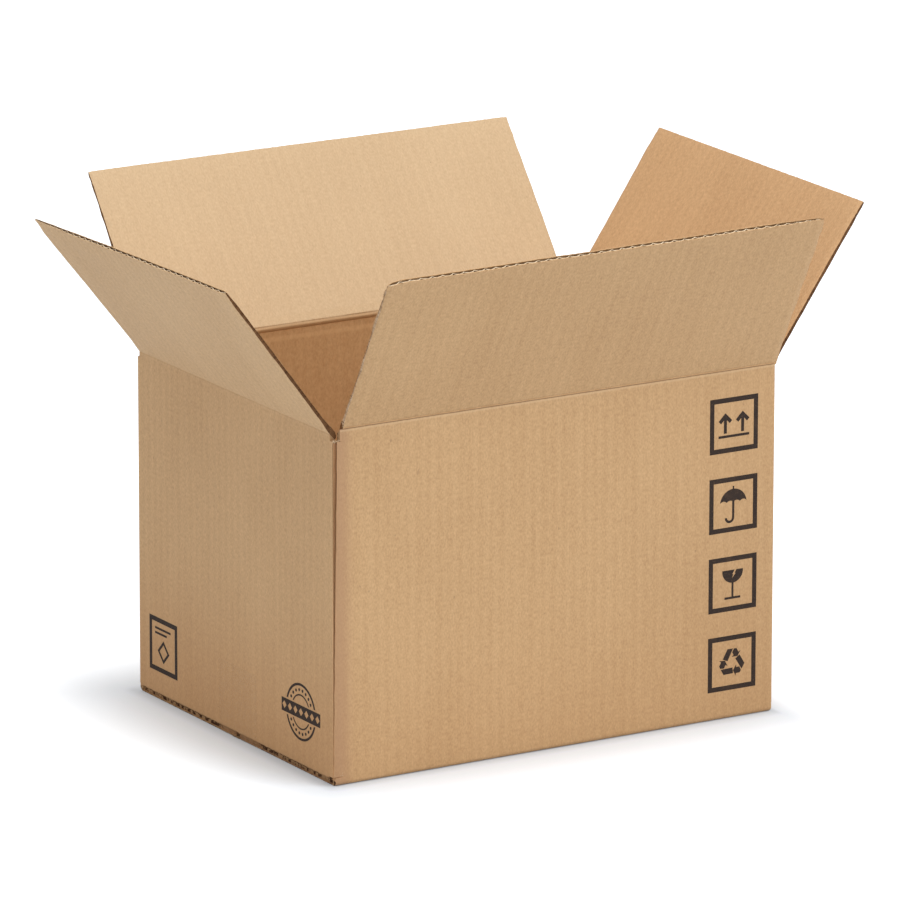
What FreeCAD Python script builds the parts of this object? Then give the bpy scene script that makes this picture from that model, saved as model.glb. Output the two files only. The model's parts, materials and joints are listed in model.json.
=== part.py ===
import FreeCAD, Part
import math
import os
import Sketcher

# An open shipping carton, folded from one sheet of single-wall corrugated board.
# Millimetres. +Z is up, +X runs along the long side, and -Y is the printed long side.
# The origin is on the underside, in the middle of the four walls.

SIZES = {
    # The box, over its outer faces
    "box_length": 340.0,
    "box_width": 260.0,
    "long_crease_height": 240.0,
    "corner_radius": 3.0,
    # The board and its flutes
    "board": 3.8,
    "liner": 0.4,
    "flute_web": 0.4,
    "flute_pitch": 7.9,
    "flute_crown": 1.4,
    "flute_shoulder": 1.8,
    "flute_open_depth": 20.0,
    "edge_groove": 1.4,
    # The four top flaps
    "flap_length": 126.0,
    "long_flap_inset": 5.0,
    "short_flap_inset": 4.4,
    "fold_gap": 0.15,
    "slot_drop": 4.2,
    "front_lean": 28.8,
    "back_lean": 36.4,
    "left_lean": 38.4,
    "right_lean": 35.2,
    # The bottom flaps
    "layer_gap": 0.3,
    "low_slot_floor": 5.8,
    "low_long_inset": 1.5,
    "low_short_inset": 6.5,
    "long_bend_radius": 3.0,
    "short_bend_radius": 1.5,
    # The glued side joint
    "joint_gap": 1.0,
    "joint_bend_depth": 2.2,
    "tab_length": 32.0,
    "tab_end_gap": 10.0,
    "tab_taper": 8.0,
    # The tape under the box
    "tape_width": 50.0,
    "tape_thickness": 0.1,
    "tape_turn_up": 50.0,
    "tape_shift": -4.5,
    # The printed marks
    "ink_thickness": 0.1,
    "mark_side": 37.6,
    "mark_line": 3.3,
    "mark_margin": 14.4,
    "mark_height": 19.8,
    "mark_top_gap": 18.8,
    "end_mark_margin": 15.8,
    "stamp_radius": 19.4,
    "stamp_line": 1.7,
    "stamp_inner_radius": 12.0,
    "stamp_from_front": 42.4,
    "stamp_height": 40.0,
    "stamp_band_length": 50.0,
    "stamp_band_height": 9.2,
}


class Length:
    """A number that also knows the sheet expression it comes from."""

    def __init__(self, value, text):
        self.value = value
        self.text = text

    def combined(self, other, sign, value):
        return Length(value, "(%s %s %s)" % (self.text, sign, other.text))

    def __add__(self, other):
        other = as_length(other)
        return self.combined(other, "+", self.value + other.value)

    def __radd__(self, other):
        return as_length(other) + self

    def __sub__(self, other):
        other = as_length(other)
        return self.combined(other, "-", self.value - other.value)

    def __mul__(self, other):
        other = as_length(other)
        return self.combined(other, "*", self.value * other.value)

    def __rmul__(self, other):
        return as_length(other) * self

    def __truediv__(self, other):
        other = as_length(other)
        return self.combined(other, "/", self.value / other.value)

    def __neg__(self):
        return as_length(0) - self

    def floor(self):
        return Length(math.floor(self.value), "floor(%s)" % self.text)


def as_length(number):
    if isinstance(number, Length):
        return number
    return Length(float(number), repr(float(number)))


doc = FreeCAD.newDocument("carton")
sheet = doc.addObject("Spreadsheet::Sheet", "sizes")
for row, (alias, number) in enumerate(SIZES.items(), start=1):
    sheet.set("A%d" % row, alias)
    sheet.set("B%d" % row, str(number))
    sheet.setAlias("B%d" % row, alias)
doc.recompute()


def size(alias):
    return Length(sheet.get(alias), "<<sizes>>.%s" % alias)


board = size("board")
half_length = size("box_length") / 2
half_width = size("box_width") / 2
long_crease = size("long_crease_height")
# The short flaps fold in first, so their crease is one board lower
short_crease = long_crease - board - size("fold_gap")
slot_floor = short_crease - size("slot_drop")
low_slot_floor = size("low_slot_floor")
# The short bottom flaps lie on the long ones
second_layer = board + size("layer_gap")
flap_length = size("flap_length")
# A bottom flap is as long as a top flap, but measured from the middle of its fold
low_flap_reach = flap_length + board / 2


def new_body(name):
    body = doc.addObject("PartDesign::Body", name)
    body.Label = name
    return body


def plane_of(body, role):
    return next(item for item in body.Origin.OriginFeatures if item.Role == role)


def new_sketch(body, name, role, offset=None):
    """An empty sketch on one of the body's planes, moved along the plane's normal."""
    sketch = body.newObject("Sketcher::SketchObject", name)
    sketch.AttachmentSupport = [(plane_of(body, role), "")]
    sketch.MapMode = "FlatFace"
    if offset is not None:
        sketch.setExpression("AttachmentOffset.Base.z", offset.text)
    doc.recompute()
    return sketch


def bind(sketch, kind, geometry, point, length):
    """Hold one coordinate of a point at a length on the sheet."""
    index = sketch.addConstraint(Sketcher.Constraint(kind, -1, 1, geometry, point, length.value))
    sketch.setExpression("Constraints[%d]" % index, length.text)


def tangent_arc(before, start, end):
    """The arc from start to end that carries on in the direction of the side before it."""
    along = (start - before).normalize()
    chord = end - start
    across = (chord - along * chord.dot(along)).normalize()
    radius = chord.dot(chord) / (2 * chord.dot(across))
    centre = start + across * radius
    middle = centre + ((start - centre) + (end - centre)).normalize() * radius
    # A sketch's arcs run anticlockwise
    if (start - centre).cross(end - centre).z < 0:
        start, end = end, start
    return Part.Arc(start, middle, end)


# How a sketch numbers the points of a curve
START, END, CENTRE = range(1, 4)


def near(a, b):
    return abs(a - b) < 1e-4


def point_number(curve, corner):
    """Whether the curve starts or ends at the corner."""
    return START if (curve.StartPoint - corner).Length < (curve.EndPoint - corner).Length else END


def draw_loop(sketch, corners, arcs=()):
    """Draw a closed loop whose corners are held by their two coordinates.

    Each side whose number is in arcs is an arc, tangent to the side before it, which
    runs along one of the sketch's axes.
    """
    points = [FreeCAD.Vector(x.value, y.value, 0) for x, y in corners]
    count = len(points)
    first = sketch.GeometryCount
    for side in range(count):
        start = points[side]
        end = points[(side + 1) % count]
        if side in arcs:
            sketch.addGeometry(tangent_arc(points[side - 1], start, end), False)
        else:
            sketch.addGeometry(Part.LineSegment(start, end), False)
    curves = sketch.Geometry[first:]
    for side in range(count):
        here = first + side
        before = first + (side - 1) % count
        here_point = point_number(curves[side], points[side])
        before_point = point_number(curves[side - 1], points[side])
        sketch.addConstraint(Sketcher.Constraint("Coincident", before, before_point, here, here_point))
        bind(sketch, "DistanceX", here, here_point, corners[side][0])
        bind(sketch, "DistanceY", here, here_point, corners[side][1])
        if side not in arcs:
            continue
        # The arc's centre is square to the side before it
        if near(points[side - 1].y, points[side].y):
            bind(sketch, "DistanceX", here, CENTRE, corners[side][0])
        else:
            bind(sketch, "DistanceY", here, CENTRE, corners[side][1])


def pad(body, name, sketch, length, midplane=False):
    feature = body.newObject("PartDesign::Pad", name)
    feature.Profile = sketch
    feature.Midplane = midplane
    feature.setExpression("Length", length.text)
    doc.recompute()
    return feature


def pocket(body, name, sketch, length, midplane=False, back=False):
    """Cut a sketch out of the body, and stop if nothing is cut."""
    before = body.Shape.Volume
    feature = body.newObject("PartDesign::Pocket", name)
    feature.Profile = sketch
    feature.Midplane = midplane
    feature.Reversed = back
    feature.setExpression("Length", length.text)
    doc.recompute()
    if not body.Shape.Volume < before - 1e-6:
        raise RuntimeError("%s cuts nothing" % name)
    return feature


def mirror(body, name, features, role):
    feature = body.newObject("PartDesign::Mirrored", name)
    feature.Originals = features
    feature.MirrorPlane = (plane_of(body, role), [""])
    body.Tip = feature
    doc.recompute()
    return feature


def fillet(body, name, edges, radius):
    rounded = body.Tip
    feature = body.newObject("PartDesign::Fillet", name)
    feature.Base = (rounded, edges)
    feature.setExpression("Radius", radius.text)
    body.Tip = feature
    doc.recompute()
    return feature


def edges_where(body, axis, test):
    """The names of the body's edges that run straight along the axis, with both ends
    passing the test."""
    names = []
    for number, edge in enumerate(body.Shape.Edges, start=1):
        start = edge.Vertexes[0].Point
        end = edge.Vertexes[-1].Point
        run = abs(getattr(end - start, axis))
        if near(edge.Length, run) and test(start) and test(end):
            names.append("Edge%d" % number)
    return names


def rectangle(left, low, right, high):
    return [(left, low), (right, low), (right, high), (left, high)]


def flute_ends(body, name, role, plane_offset, across, run, outer_face, towards_inside, axis):
    """Open the flutes along a cut edge of the board, and the half flutes at its two ends.

    The sketch lies on the cut edge. across is its coordinate through the board, 0 for
    the first coordinate of the sketch or 1 for the second.
    """
    pitch = size("flute_pitch")
    crown = size("flute_crown")
    low = outer_face + towards_inside * size("liner")
    high = outer_face + towards_inside * (board - size("liner"))
    low_crown = low + towards_inside * size("flute_web")
    high_crown = high - towards_inside * size("flute_web")
    half_mouth = (pitch - size("flute_shoulder")) / 2
    count = ((run - 2 * size("edge_groove")) / pitch - 0.5).floor()
    start = -(count - 1) * pitch / 2 - pitch / 4
    sketch = new_sketch(body, name + "_sketch", role, plane_offset)
    for centre, wide, narrow in ((start, low, high_crown), (start + pitch / 2, high, low_crown)):
        corners = [(centre - half_mouth, wide), (centre + half_mouth, wide),
                   (centre + crown / 2, narrow), (centre - crown / 2, narrow)]
        if across == 0:
            corners = [(y, x) for x, y in corners]
        draw_loop(sketch, corners)
    opened = pocket(body, name, sketch, size("flute_open_depth"))
    pattern = body.newObject("PartDesign::LinearPattern", name + "_row")
    pattern.Originals = [opened]
    pattern.Direction = (sketch, [axis])
    pattern.setExpression("Length", ((count - 1) * pitch).text)
    pattern.setExpression("Occurrences", count.text)
    body.Tip = pattern
    doc.recompute()
    return pattern


# Carton body: four walls, the folded bottom flaps and the glued tab, all one sheet
body = new_body("carton_body")
tab_face = -half_length + board
raw_edge = -half_width + size("joint_gap")
groove_end = raw_edge + size("edge_groove")

walls = new_sketch(body, "wall_plan", "XY_Plane", low_slot_floor)
draw_loop(walls, [
    (-half_length, half_width),
    (half_length, half_width),
    (half_length, -half_width),
    (tab_face + board, -half_width),
    (tab_face, -half_width + size("joint_bend_depth")),
    (tab_face, raw_edge),
    (tab_face - size("liner"), raw_edge),
    (tab_face - size("liner"), groove_end),
    (-half_length + size("liner"), groove_end),
    (-half_length + size("liner"), raw_edge),
    (-half_length, raw_edge),
], arcs=(3,))
draw_loop(walls, rectangle(tab_face, -half_width + board, half_length - board, half_width - board))
pad(body, "walls", walls, slot_floor - low_slot_floor)


def at_folded_corner(point):
    return near(abs(point.x), half_length.value) and near(abs(point.y), half_width.value)


fillet(body, "corner_rounding", edges_where(body, "z", at_folded_corner), size("corner_radius"))

long_rim = new_sketch(body, "long_rim_section", "YZ_Plane")
draw_loop(long_rim, [
    (-half_width, slot_floor),
    (-half_width, long_crease),
    (-half_width + board, long_crease - board),
    (-half_width + board, slot_floor),
])
front_rim = pad(body, "front_rim", long_rim, 2 * (half_length - size("long_flap_inset")), midplane=True)
mirror(body, "back_rim", [front_rim], "XZ_Plane")

short_rim = new_sketch(body, "short_rim_section", "XZ_Plane")
draw_loop(short_rim, [
    (-half_length, slot_floor),
    (-half_length, short_crease),
    (-half_length + board, short_crease - board),
    (-half_length + board, slot_floor),
])
left_rim = pad(body, "left_rim", short_rim, 2 * (half_width - size("short_flap_inset")), midplane=True)
mirror(body, "right_rim", [left_rim], "YZ_Plane")

long_fold = new_sketch(body, "long_bottom_section", "YZ_Plane")
draw_loop(long_fold, [
    (-half_width, low_slot_floor),
    (-half_width, as_length(0)),
    (-half_width + low_flap_reach, as_length(0)),
    (-half_width + low_flap_reach, board),
    (-half_width + board, board),
    (-half_width + board, low_slot_floor),
])
low_long_end = half_length - size("low_long_inset")
front_bottom = pad(body, "front_bottom_flap", long_fold, 2 * low_long_end, midplane=True)
mirror(body, "back_bottom_flap", [front_bottom], "XZ_Plane")

short_fold = new_sketch(body, "short_bottom_section", "XZ_Plane")
draw_loop(short_fold, [
    (-half_length, low_slot_floor),
    (-half_length, second_layer),
    (-half_length + low_flap_reach, second_layer),
    (-half_length + low_flap_reach, second_layer + board),
    (-half_length + board, second_layer + board),
    (-half_length + board, low_slot_floor),
])
low_short_end = half_width - size("low_short_inset")
left_bottom = pad(body, "left_bottom_flap", short_fold, 2 * low_short_end, midplane=True)
mirror(body, "right_bottom_flap", [left_bottom], "YZ_Plane")

tab_low = second_layer + board + size("tab_end_gap")
tab_high = slot_floor - size("tab_end_gap")
tab_root = -half_width + board
tab = new_sketch(body, "glue_tab_outline", "YZ_Plane", tab_face)
draw_loop(tab, [
    (tab_root, tab_low),
    (tab_root + size("tab_length"), tab_low + size("tab_taper")),
    (tab_root + size("tab_length"), tab_high - size("tab_taper")),
    (tab_root, tab_high),
])
pad(body, "glue_tab", tab, board)


def at_long_fold(point):
    return near(abs(point.y), half_width.value) and near(point.z, 0)


def at_short_fold(point):
    return near(abs(point.x), half_length.value) and near(point.z, second_layer.value)


fillet(body, "long_fold_rounding", edges_where(body, "x", at_long_fold), size("long_bend_radius"))
fillet(body, "short_fold_rounding", edges_where(body, "y", at_short_fold), size("short_bend_radius"))

# The cut side edges of the long bottom flaps, where the cut runs along a flute
grooves = new_sketch(body, "bottom_edge_grooves", "YZ_Plane", -low_long_end)
for side in (-1, 1):
    draw_loop(grooves, rectangle(side * (half_width - board), size("liner"),
                                 side * (half_width - low_flap_reach), board - size("liner")))
left_groove = pocket(body, "left_edge_groove", grooves, size("edge_groove"), back=True)
mirror(body, "right_edge_groove", [left_groove], "YZ_Plane")

# The tape is pressed into the underside, so the box still rests on its flaps
recess = new_sketch(body, "tape_recess_outline", "XY_Plane")
tape_low = size("tape_shift") - size("tape_width") / 2
tape_high = size("tape_shift") + size("tape_width") / 2
draw_loop(recess, rectangle(-half_length, tape_low, half_length, tape_high))
pocket(body, "tape_recess", recess, size("tape_thickness"), back=True)


# Top flaps: each hangs on its crease, with its outer face towards -Y or -X at the front
# or left, and its foot cut at 45 degrees to close against the wall's rim
def make_flap(name, along, outward, half_run, crease, half_depth, lean):
    """One top flap, drawn upright on its crease and then leant outwards.

    along is the axis of the crease, X or Y, and outward the sign of the wall's side.
    """
    flap = new_body(name)
    inward = -outward
    foot = board + size("fold_gap")
    section = new_sketch(flap, name + "_section", "YZ_Plane" if along == "X" else "XZ_Plane")
    draw_loop(section, [
        (as_length(0), as_length(0)),
        (as_length(0), flap_length),
        (inward * board, flap_length),
        (inward * board, foot),
    ])
    pad(flap, name + "_board", section, 2 * half_run, midplane=True)
    across = 1 if along == "X" else 0
    grooves = new_sketch(flap, name + "_edge_grooves", "XY_Plane", flap_length)
    for end in (-1, 1):
        outline = rectangle(end * (half_run - size("edge_groove")), inward * size("liner"),
                            end * half_run, inward * (board - size("liner")))
        if across == 0:
            outline = [(y, x) for x, y in outline]
        draw_loop(grooves, outline)
    pocket(flap, name + "_side_cuts", grooves, flap_length - 2 * foot)
    flute_ends(flap, name + "_flutes", "XY_Plane", flap_length, across, 2 * half_run,
               as_length(0), inward, "H_Axis" if along == "X" else "V_Axis")
    turn = FreeCAD.Vector(1, 0, 0) if along == "X" else FreeCAD.Vector(0, 1, 0)
    sense = -outward if along == "X" else outward
    flap.Placement = FreeCAD.Placement(FreeCAD.Vector(0, 0, 0), FreeCAD.Rotation(turn, sense * lean.value))
    flap.setExpression("Placement.Base.%s" % ("y" if along == "X" else "x"), (outward * half_depth).text)
    flap.setExpression("Placement.Base.z", crease.text)
    flap.setExpression("Placement.Rotation.Angle", "%s * 1 deg" % (sense * lean).text)
    doc.recompute()
    return flap


long_run = half_length - size("long_flap_inset")
short_run = half_width - size("short_flap_inset")
front_flap = make_flap("front_flap", "X", -1, long_run, long_crease, half_width, size("front_lean"))
back_flap = make_flap("back_flap", "X", 1, long_run, long_crease, half_width, size("back_lean"))
left_flap = make_flap("left_flap", "Y", -1, short_run, short_crease, half_length, size("left_lean"))
right_flap = make_flap("right_flap", "Y", 1, short_run, short_crease, half_length, size("right_lean"))


# Bottom tape: one strip along the seam, turned up both ends
tape = new_body("bottom_tape")
film = size("tape_thickness")
turn_radius = size("low_long_inset") + film
tape_section = new_sketch(tape, "tape_section", "XZ_Plane", -size("tape_shift"))
draw_loop(tape_section, [
    (-half_length - film, size("tape_turn_up")),
    (-half_length - film, turn_radius),
    (-low_long_end, as_length(0)),
    (low_long_end, as_length(0)),
    (half_length + film, turn_radius),
    (half_length + film, size("tape_turn_up")),
    (half_length, size("tape_turn_up")),
    (half_length, turn_radius),
    (low_long_end, film),
    (-low_long_end, film),
    (-half_length, turn_radius),
    (-half_length, size("tape_turn_up")),
], arcs=(1, 3, 7, 9))
pad(tape, "tape_strip", tape_section, size("tape_width"), midplane=True)


# Printed marks: flat ink shapes, drawn in shares of a frame's side
def polygon(points, scale):
    corners = [FreeCAD.Vector(x * scale, y * scale, 0) for x, y in points]
    return Part.Face(Part.makePolygon(corners + corners[:1]))


def bar(left, low, right, high, scale):
    return polygon([(left, low), (right, low), (right, high), (left, high)], scale)


def disc(radius, x=0.0, y=0.0):
    circle = Part.makeCircle(radius, FreeCAD.Vector(x, y, 0))
    return Part.Face(Part.Wire(circle))


def ring(radius, line):
    return disc(radius).cut(disc(radius - line))


def arc_through(points, scale):
    return Part.Arc(*[FreeCAD.Vector(x * scale, y * scale, 0) for x, y in points]).toShape()


def square_frame(side, line):
    outer = bar(-0.5, -0.5, 0.5, 0.5, side)
    return outer.cut(bar(-0.5, -0.5, 0.5, 0.5, side - 2 * line))


def this_way_up(side):
    """Two arrows that point up from a bar."""
    shapes = [bar(-0.32, -0.225, 0.32, -0.18, side)]
    for middle in (-0.18, 0.18):
        head = polygon([(middle, 0.225), (middle + 0.14, 0.085), (middle + 0.091, 0.036),
                        (middle, 0.127), (middle - 0.091, 0.036), (middle - 0.14, 0.085)], side)
        shapes.append(head.fuse(bar(middle - 0.03, -0.145, middle + 0.03, 0.18, side)))
    return shapes


def umbrella(side):
    """A canopy with four scallops, and a shaft with a hooked handle."""
    rim, drop, top = 0.275, 0.04, 0.28
    edges = [arc_through([(-rim, drop), (0, top), (rim, drop)], side)]
    scallop = rim / 2
    for index in range(4):
        right = rim - index * scallop
        edges.append(arc_through([(right, drop), (right - scallop / 2, drop + 0.03),
                                  (right - scallop, drop)], side))
    canopy = Part.Face(Part.Wire(edges))
    hook_radius, half_shaft, foot = 0.075, 0.022, -0.24
    hook = disc((hook_radius + half_shaft) * side, -hook_radius * side, foot * side)
    hook = hook.cut(disc((hook_radius - half_shaft) * side, -hook_radius * side, foot * side))
    hook = hook.cut(bar(-0.3, foot, 0.3, 0.2, side))
    shaft = bar(-half_shaft, foot, half_shaft, drop + 0.05, side)
    ferrule = bar(-0.014, top - 0.02, 0.014, top + 0.05, side)
    return [canopy.multiFuse([shaft, hook, ferrule])]


def cracked_glass(side):
    """A stemmed glass whose bowl is cracked from the rim."""
    rim, top = 0.215, 0.25
    bowl = Part.Face(Part.Wire([
        arc_through([(-rim, top), (0, top - 0.235), (rim, top)], side),
        Part.makeLine(FreeCAD.Vector(rim * side, top * side, 0), FreeCAD.Vector(-rim * side, top * side, 0)),
    ]))
    crack = polygon([(0.05, 0.27), (0.09, 0.27), (0.045, 0.19), (0.065, 0.185),
                     (-0.02, 0.09), (0.015, 0.165), (-0.005, 0.17)], side)
    stem = bar(-0.02, -0.26, 0.02, 0.04, side)
    foot = bar(-0.165, -0.28, 0.165, -0.24, side)
    return [bowl.multiFuse([stem, foot]).cut(crack)]


def three_arrow_loop(side):
    """Three bent arrows that follow each other round a triangle."""
    leg = [(-0.189, 0.077), (-0.093, 0.253), (0.024, 0.253), (-0.09, 0.035)]
    head = [(0.045, 0.25), (0.096, 0.25), (0.138, 0.178), (0.181, 0.202),
            (0.118, 0.1), (-0.003, 0.104), (0.04, 0.128), (0.005, 0.186)]
    shapes = []
    for step in range(3):
        for outline in (leg, head):
            face = polygon(outline, side)
            face.rotate(FreeCAD.Vector(0, 0, 0), FreeCAD.Vector(0, 0, 1), 120 * step)
            shapes.append(face)
    return shapes


def bars_and_lozenge(side):
    """A plain filler: two bars over an outlined lozenge."""
    outer = polygon([(0, 0.1), (0.21, -0.11), (0, -0.32), (-0.21, -0.11)], side)
    inner = polygon([(0, 0.03), (0.14, -0.11), (0, -0.25), (-0.14, -0.11)], side)
    return [bar(-0.3, 0.28, 0.26, 0.32, side), bar(-0.3, 0.19, 0.12, 0.23, side), outer.cut(inner)]


def plain_stamp(radius, line, inner_radius, band_length, band_height):
    """Two rings with dots between them, crossed by a band with lozenges left bare."""
    band = bar(-0.5, -0.5 * band_height / band_length, 0.5, 0.5 * band_height / band_length, band_length)
    keep_clear = 0.13 * band_height
    half_clear = band_height / 2 + keep_clear
    mask = bar(-1, -half_clear / (2 * radius), 1, half_clear / (2 * radius), 2 * radius)
    shapes = [ring(radius, line).cut(mask), ring(inner_radius, 0.6 * line).cut(mask)]
    middle_radius = (radius - line + inner_radius) / 2
    dots = 8
    for side in (1, -1):
        for index in range(dots):
            angle = math.radians(32 + 116 * index / (dots - 1))
            shapes.append(disc(0.055 * radius, middle_radius * math.cos(angle),
                               side * middle_radius * math.sin(angle)))
    lozenges = 7
    for index in range(lozenges):
        x = band_length * ((index + 0.5) / lozenges - 0.5)
        half = 0.3 * band_height
        hole = polygon([(x, half), (x + half, 0), (x, -half), (x - half, 0)], 1)
        band = band.cut(hole)
    return shapes + [band]


def inked(faces, x, y):
    """The faces as ink of its real thickness, moved to a place on their wall."""
    ink = sheet.get("ink_thickness")
    solids = []
    for face in faces:
        pieces = face.extrude(FreeCAD.Vector(0, 0, ink)).Solids
        solid = pieces[0].multiFuse(pieces[1:]).removeSplitter()
        solid.translate(FreeCAD.Vector(x, y, 0))
        solids.extend(solid.Solids)
    return solids


def print_node(name, solids, placement):
    node = doc.addObject("Part::Feature", name)
    node.Label = name
    node.Shape = Part.makeCompound(solids)
    node.Placement = placement
    return node


mark_side = sheet.get("mark_side")
mark_x = half_length.value - sheet.get("mark_margin") - mark_side / 2
mark_y = sheet.get("mark_height") + mark_side / 2
top_mark_y = long_crease.value - sheet.get("mark_top_gap") - mark_side / 2
symbols = (three_arrow_loop, cracked_glass, umbrella, this_way_up)
mark_pitch = (top_mark_y - mark_y) / (len(symbols) - 1)
front_ink = []
for step, symbol in enumerate(symbols):
    shapes = [square_frame(mark_side, sheet.get("mark_line"))] + symbol(mark_side)
    front_ink += inked(shapes, mark_x, mark_y + step * mark_pitch)
# Ink on the front wall: drawn across X and up Z
front_marks = print_node("front_marks", front_ink, FreeCAD.Placement(
    FreeCAD.Vector(0, -half_width.value, 0), FreeCAD.Rotation(FreeCAD.Vector(1, 0, 0), 90)))

end_frame = [square_frame(mark_side, sheet.get("mark_line"))] + bars_and_lozenge(mark_side)
stamp = plain_stamp(sheet.get("stamp_radius"), sheet.get("stamp_line"), sheet.get("stamp_inner_radius"),
                    sheet.get("stamp_band_length"), sheet.get("stamp_band_height"))
end_ink = inked(end_frame, -half_width.value + sheet.get("end_mark_margin") + mark_side / 2, mark_y)
end_ink += inked(stamp, half_width.value - sheet.get("stamp_from_front"), sheet.get("stamp_height"))
# Ink on the left wall: drawn across from the back to the front, and up Z
end_marks = print_node("end_marks", end_ink, FreeCAD.Placement(
    FreeCAD.Vector(-half_length.value, 0, 0), FreeCAD.Rotation(
        FreeCAD.Vector(0, -1, 0), FreeCAD.Vector(0, 0, 1), FreeCAD.Vector(-1, 0, 0), "XYZ")))


# Check everything, then write one file for each piece
doc.recompute()
for item in doc.Objects:
    if "Invalid" in item.State or "Error" in item.State:
        raise RuntimeError("%s failed: %s" % (item.Name, item.State))
nodes = [body, front_flap, back_flap, left_flap, right_flap, tape, front_marks, end_marks]
for node in nodes:
    if node.Shape.isNull() or not node.Shape.isValid():
        raise RuntimeError("%s has no valid shape" % node.Label)
os.makedirs("parts", exist_ok=True)
for node in nodes:
    node.Shape.exportStep("parts/%s.step" % node.Label)
    box = node.Shape.BoundBox
    print("%-12s %3d solids %9.0f mm3  x %.1f..%.1f  y %.1f..%.1f  z %.1f..%.1f" % (
        node.Label, len(node.Shape.Solids), node.Shape.Volume,
        box.XMin, box.XMax, box.YMin, box.YMax, box.ZMin, box.ZMax))
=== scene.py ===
import json
import math
import random

import bmesh
import bpy
from mathutils import Matrix, Vector, noise


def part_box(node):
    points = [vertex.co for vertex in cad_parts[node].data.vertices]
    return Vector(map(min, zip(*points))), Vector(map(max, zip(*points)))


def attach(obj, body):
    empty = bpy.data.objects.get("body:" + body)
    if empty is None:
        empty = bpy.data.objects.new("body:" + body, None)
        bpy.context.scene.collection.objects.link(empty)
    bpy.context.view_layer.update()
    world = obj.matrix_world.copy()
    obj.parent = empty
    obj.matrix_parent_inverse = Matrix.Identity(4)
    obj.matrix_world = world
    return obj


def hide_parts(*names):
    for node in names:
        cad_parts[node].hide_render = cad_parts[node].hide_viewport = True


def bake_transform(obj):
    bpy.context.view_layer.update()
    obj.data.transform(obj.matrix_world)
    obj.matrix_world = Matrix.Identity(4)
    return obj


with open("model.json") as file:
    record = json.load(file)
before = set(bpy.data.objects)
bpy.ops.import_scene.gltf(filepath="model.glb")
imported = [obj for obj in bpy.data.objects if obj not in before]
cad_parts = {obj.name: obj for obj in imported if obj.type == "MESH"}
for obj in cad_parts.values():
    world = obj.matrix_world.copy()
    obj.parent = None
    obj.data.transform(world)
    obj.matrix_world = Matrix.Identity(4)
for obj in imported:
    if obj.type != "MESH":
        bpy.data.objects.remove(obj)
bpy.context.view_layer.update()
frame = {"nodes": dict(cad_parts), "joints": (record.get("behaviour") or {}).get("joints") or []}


# Carton. One sheet of single-wall corrugated board, brown kraft paper on both sides, cut and
# scored flat, folded round four corners and glued at a tab. The walls and the taped bottom
# flaps are this one piece, which keeps the form of the frame's solid.
BOARD = 0.0038
FLUTE_PITCH = 0.0079
SLOT_DEPTH = 0.0042
LAYER_GAP = 0.0003
KRAFT_LIGHT = (219, 179, 131)
KRAFT_DARK = (189, 147, 101)
SPECK = (120, 84, 54)
CUT_PALE = (176, 140, 102)
# The flutes' dark brown is painted shade: in the flutes' mouths on raw edges and deep in the flutes of the
# medium.
FLUTE_SHADE_DARK = (74, 48, 30)
FULL_TURN = 2 * math.pi

# The paper's random spots: how fine they are, and how much each kind changes its tone.
CLOUD_GRAIN = 14
MOTTLE_GRAIN = 300
FIBRE_GRAIN = 900
STREAK_GRAIN = 130
SPECK_GRAIN = 420
SPOT_STRETCH = 0.55
STREAK_STRETCH = 0.06
CLOUD_TONE = 0.5
MOTTLE_TONE = 0.65
FIBRE_TONE = 1.5
STREAK_TONE = 0.3
RIB_TONE = 0.05
SPECK_TONE = 0.3
SPECK_FADE = (0.76, 0.83)
ROUGH = 0.66
ROUGH_SPREAD = 0.25
RIB_RELIEF = 0.00003
FIBRE_RELIEF = 0.00002
TORN_RELIEF = 0.0003
TEAR_GRAIN = 70
NICK_GRAIN = 420
TEAR_STRETCH = 0.6
# Where the flutes' mouths on a raw edge turn to painted shade.
MOUTH_SHADE_FADE = (0.82, 1.08)


def tint(red, green, blue):
    """A colour as seen on a screen, 0 to 255, as the light that a shader works with."""
    shares = [part / 255 for part in (red, green, blue)]
    return tuple(part / 12.92 if part <= 0.04045 else ((part + 0.055) / 1.055) ** 2.4 for part in shares)


class Signal:
    """What comes out of a shader node. Arithmetic on it adds Math nodes."""

    def __init__(self, finish, socket):
        self.finish = finish
        self.socket = socket

    def math(self, operation, *others):
        return self.finish.add("ShaderNodeMath", {"operation": operation}, dict(enumerate((self,) + others)))

    def __add__(self, other):
        return self.math("ADD", other)

    __radd__ = __add__

    def __sub__(self, other):
        return self.math("SUBTRACT", other)

    def __rsub__(self, other):
        return self.finish.add("ShaderNodeMath", {"operation": "SUBTRACT"}, {0: other, 1: self})

    def __mul__(self, other):
        return self.math("MULTIPLY", other)

    __rmul__ = __mul__

    def __gt__(self, other):
        return self.math("GREATER_THAN", other)

    def __lt__(self, other):
        return self.math("LESS_THAN", other)

    def __abs__(self):
        return self.math("ABSOLUTE")

    def sine(self):
        return self.math("SINE")

    def rise(self, low, high):
        """0 below low, 1 above high, and smooth between them. It falls where low is above high."""
        return self.finish.add(
            "ShaderNodeMapRange", {"interpolation_type": "SMOOTHSTEP"},
            {"Value": self, "From Min": low, "From Max": high})

    def band(self, start, full, past, end):
        """1 from full to past, and smooth down to 0 at start and at end."""
        return self.rise(start, full) * self.rise(end, past)


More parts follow.
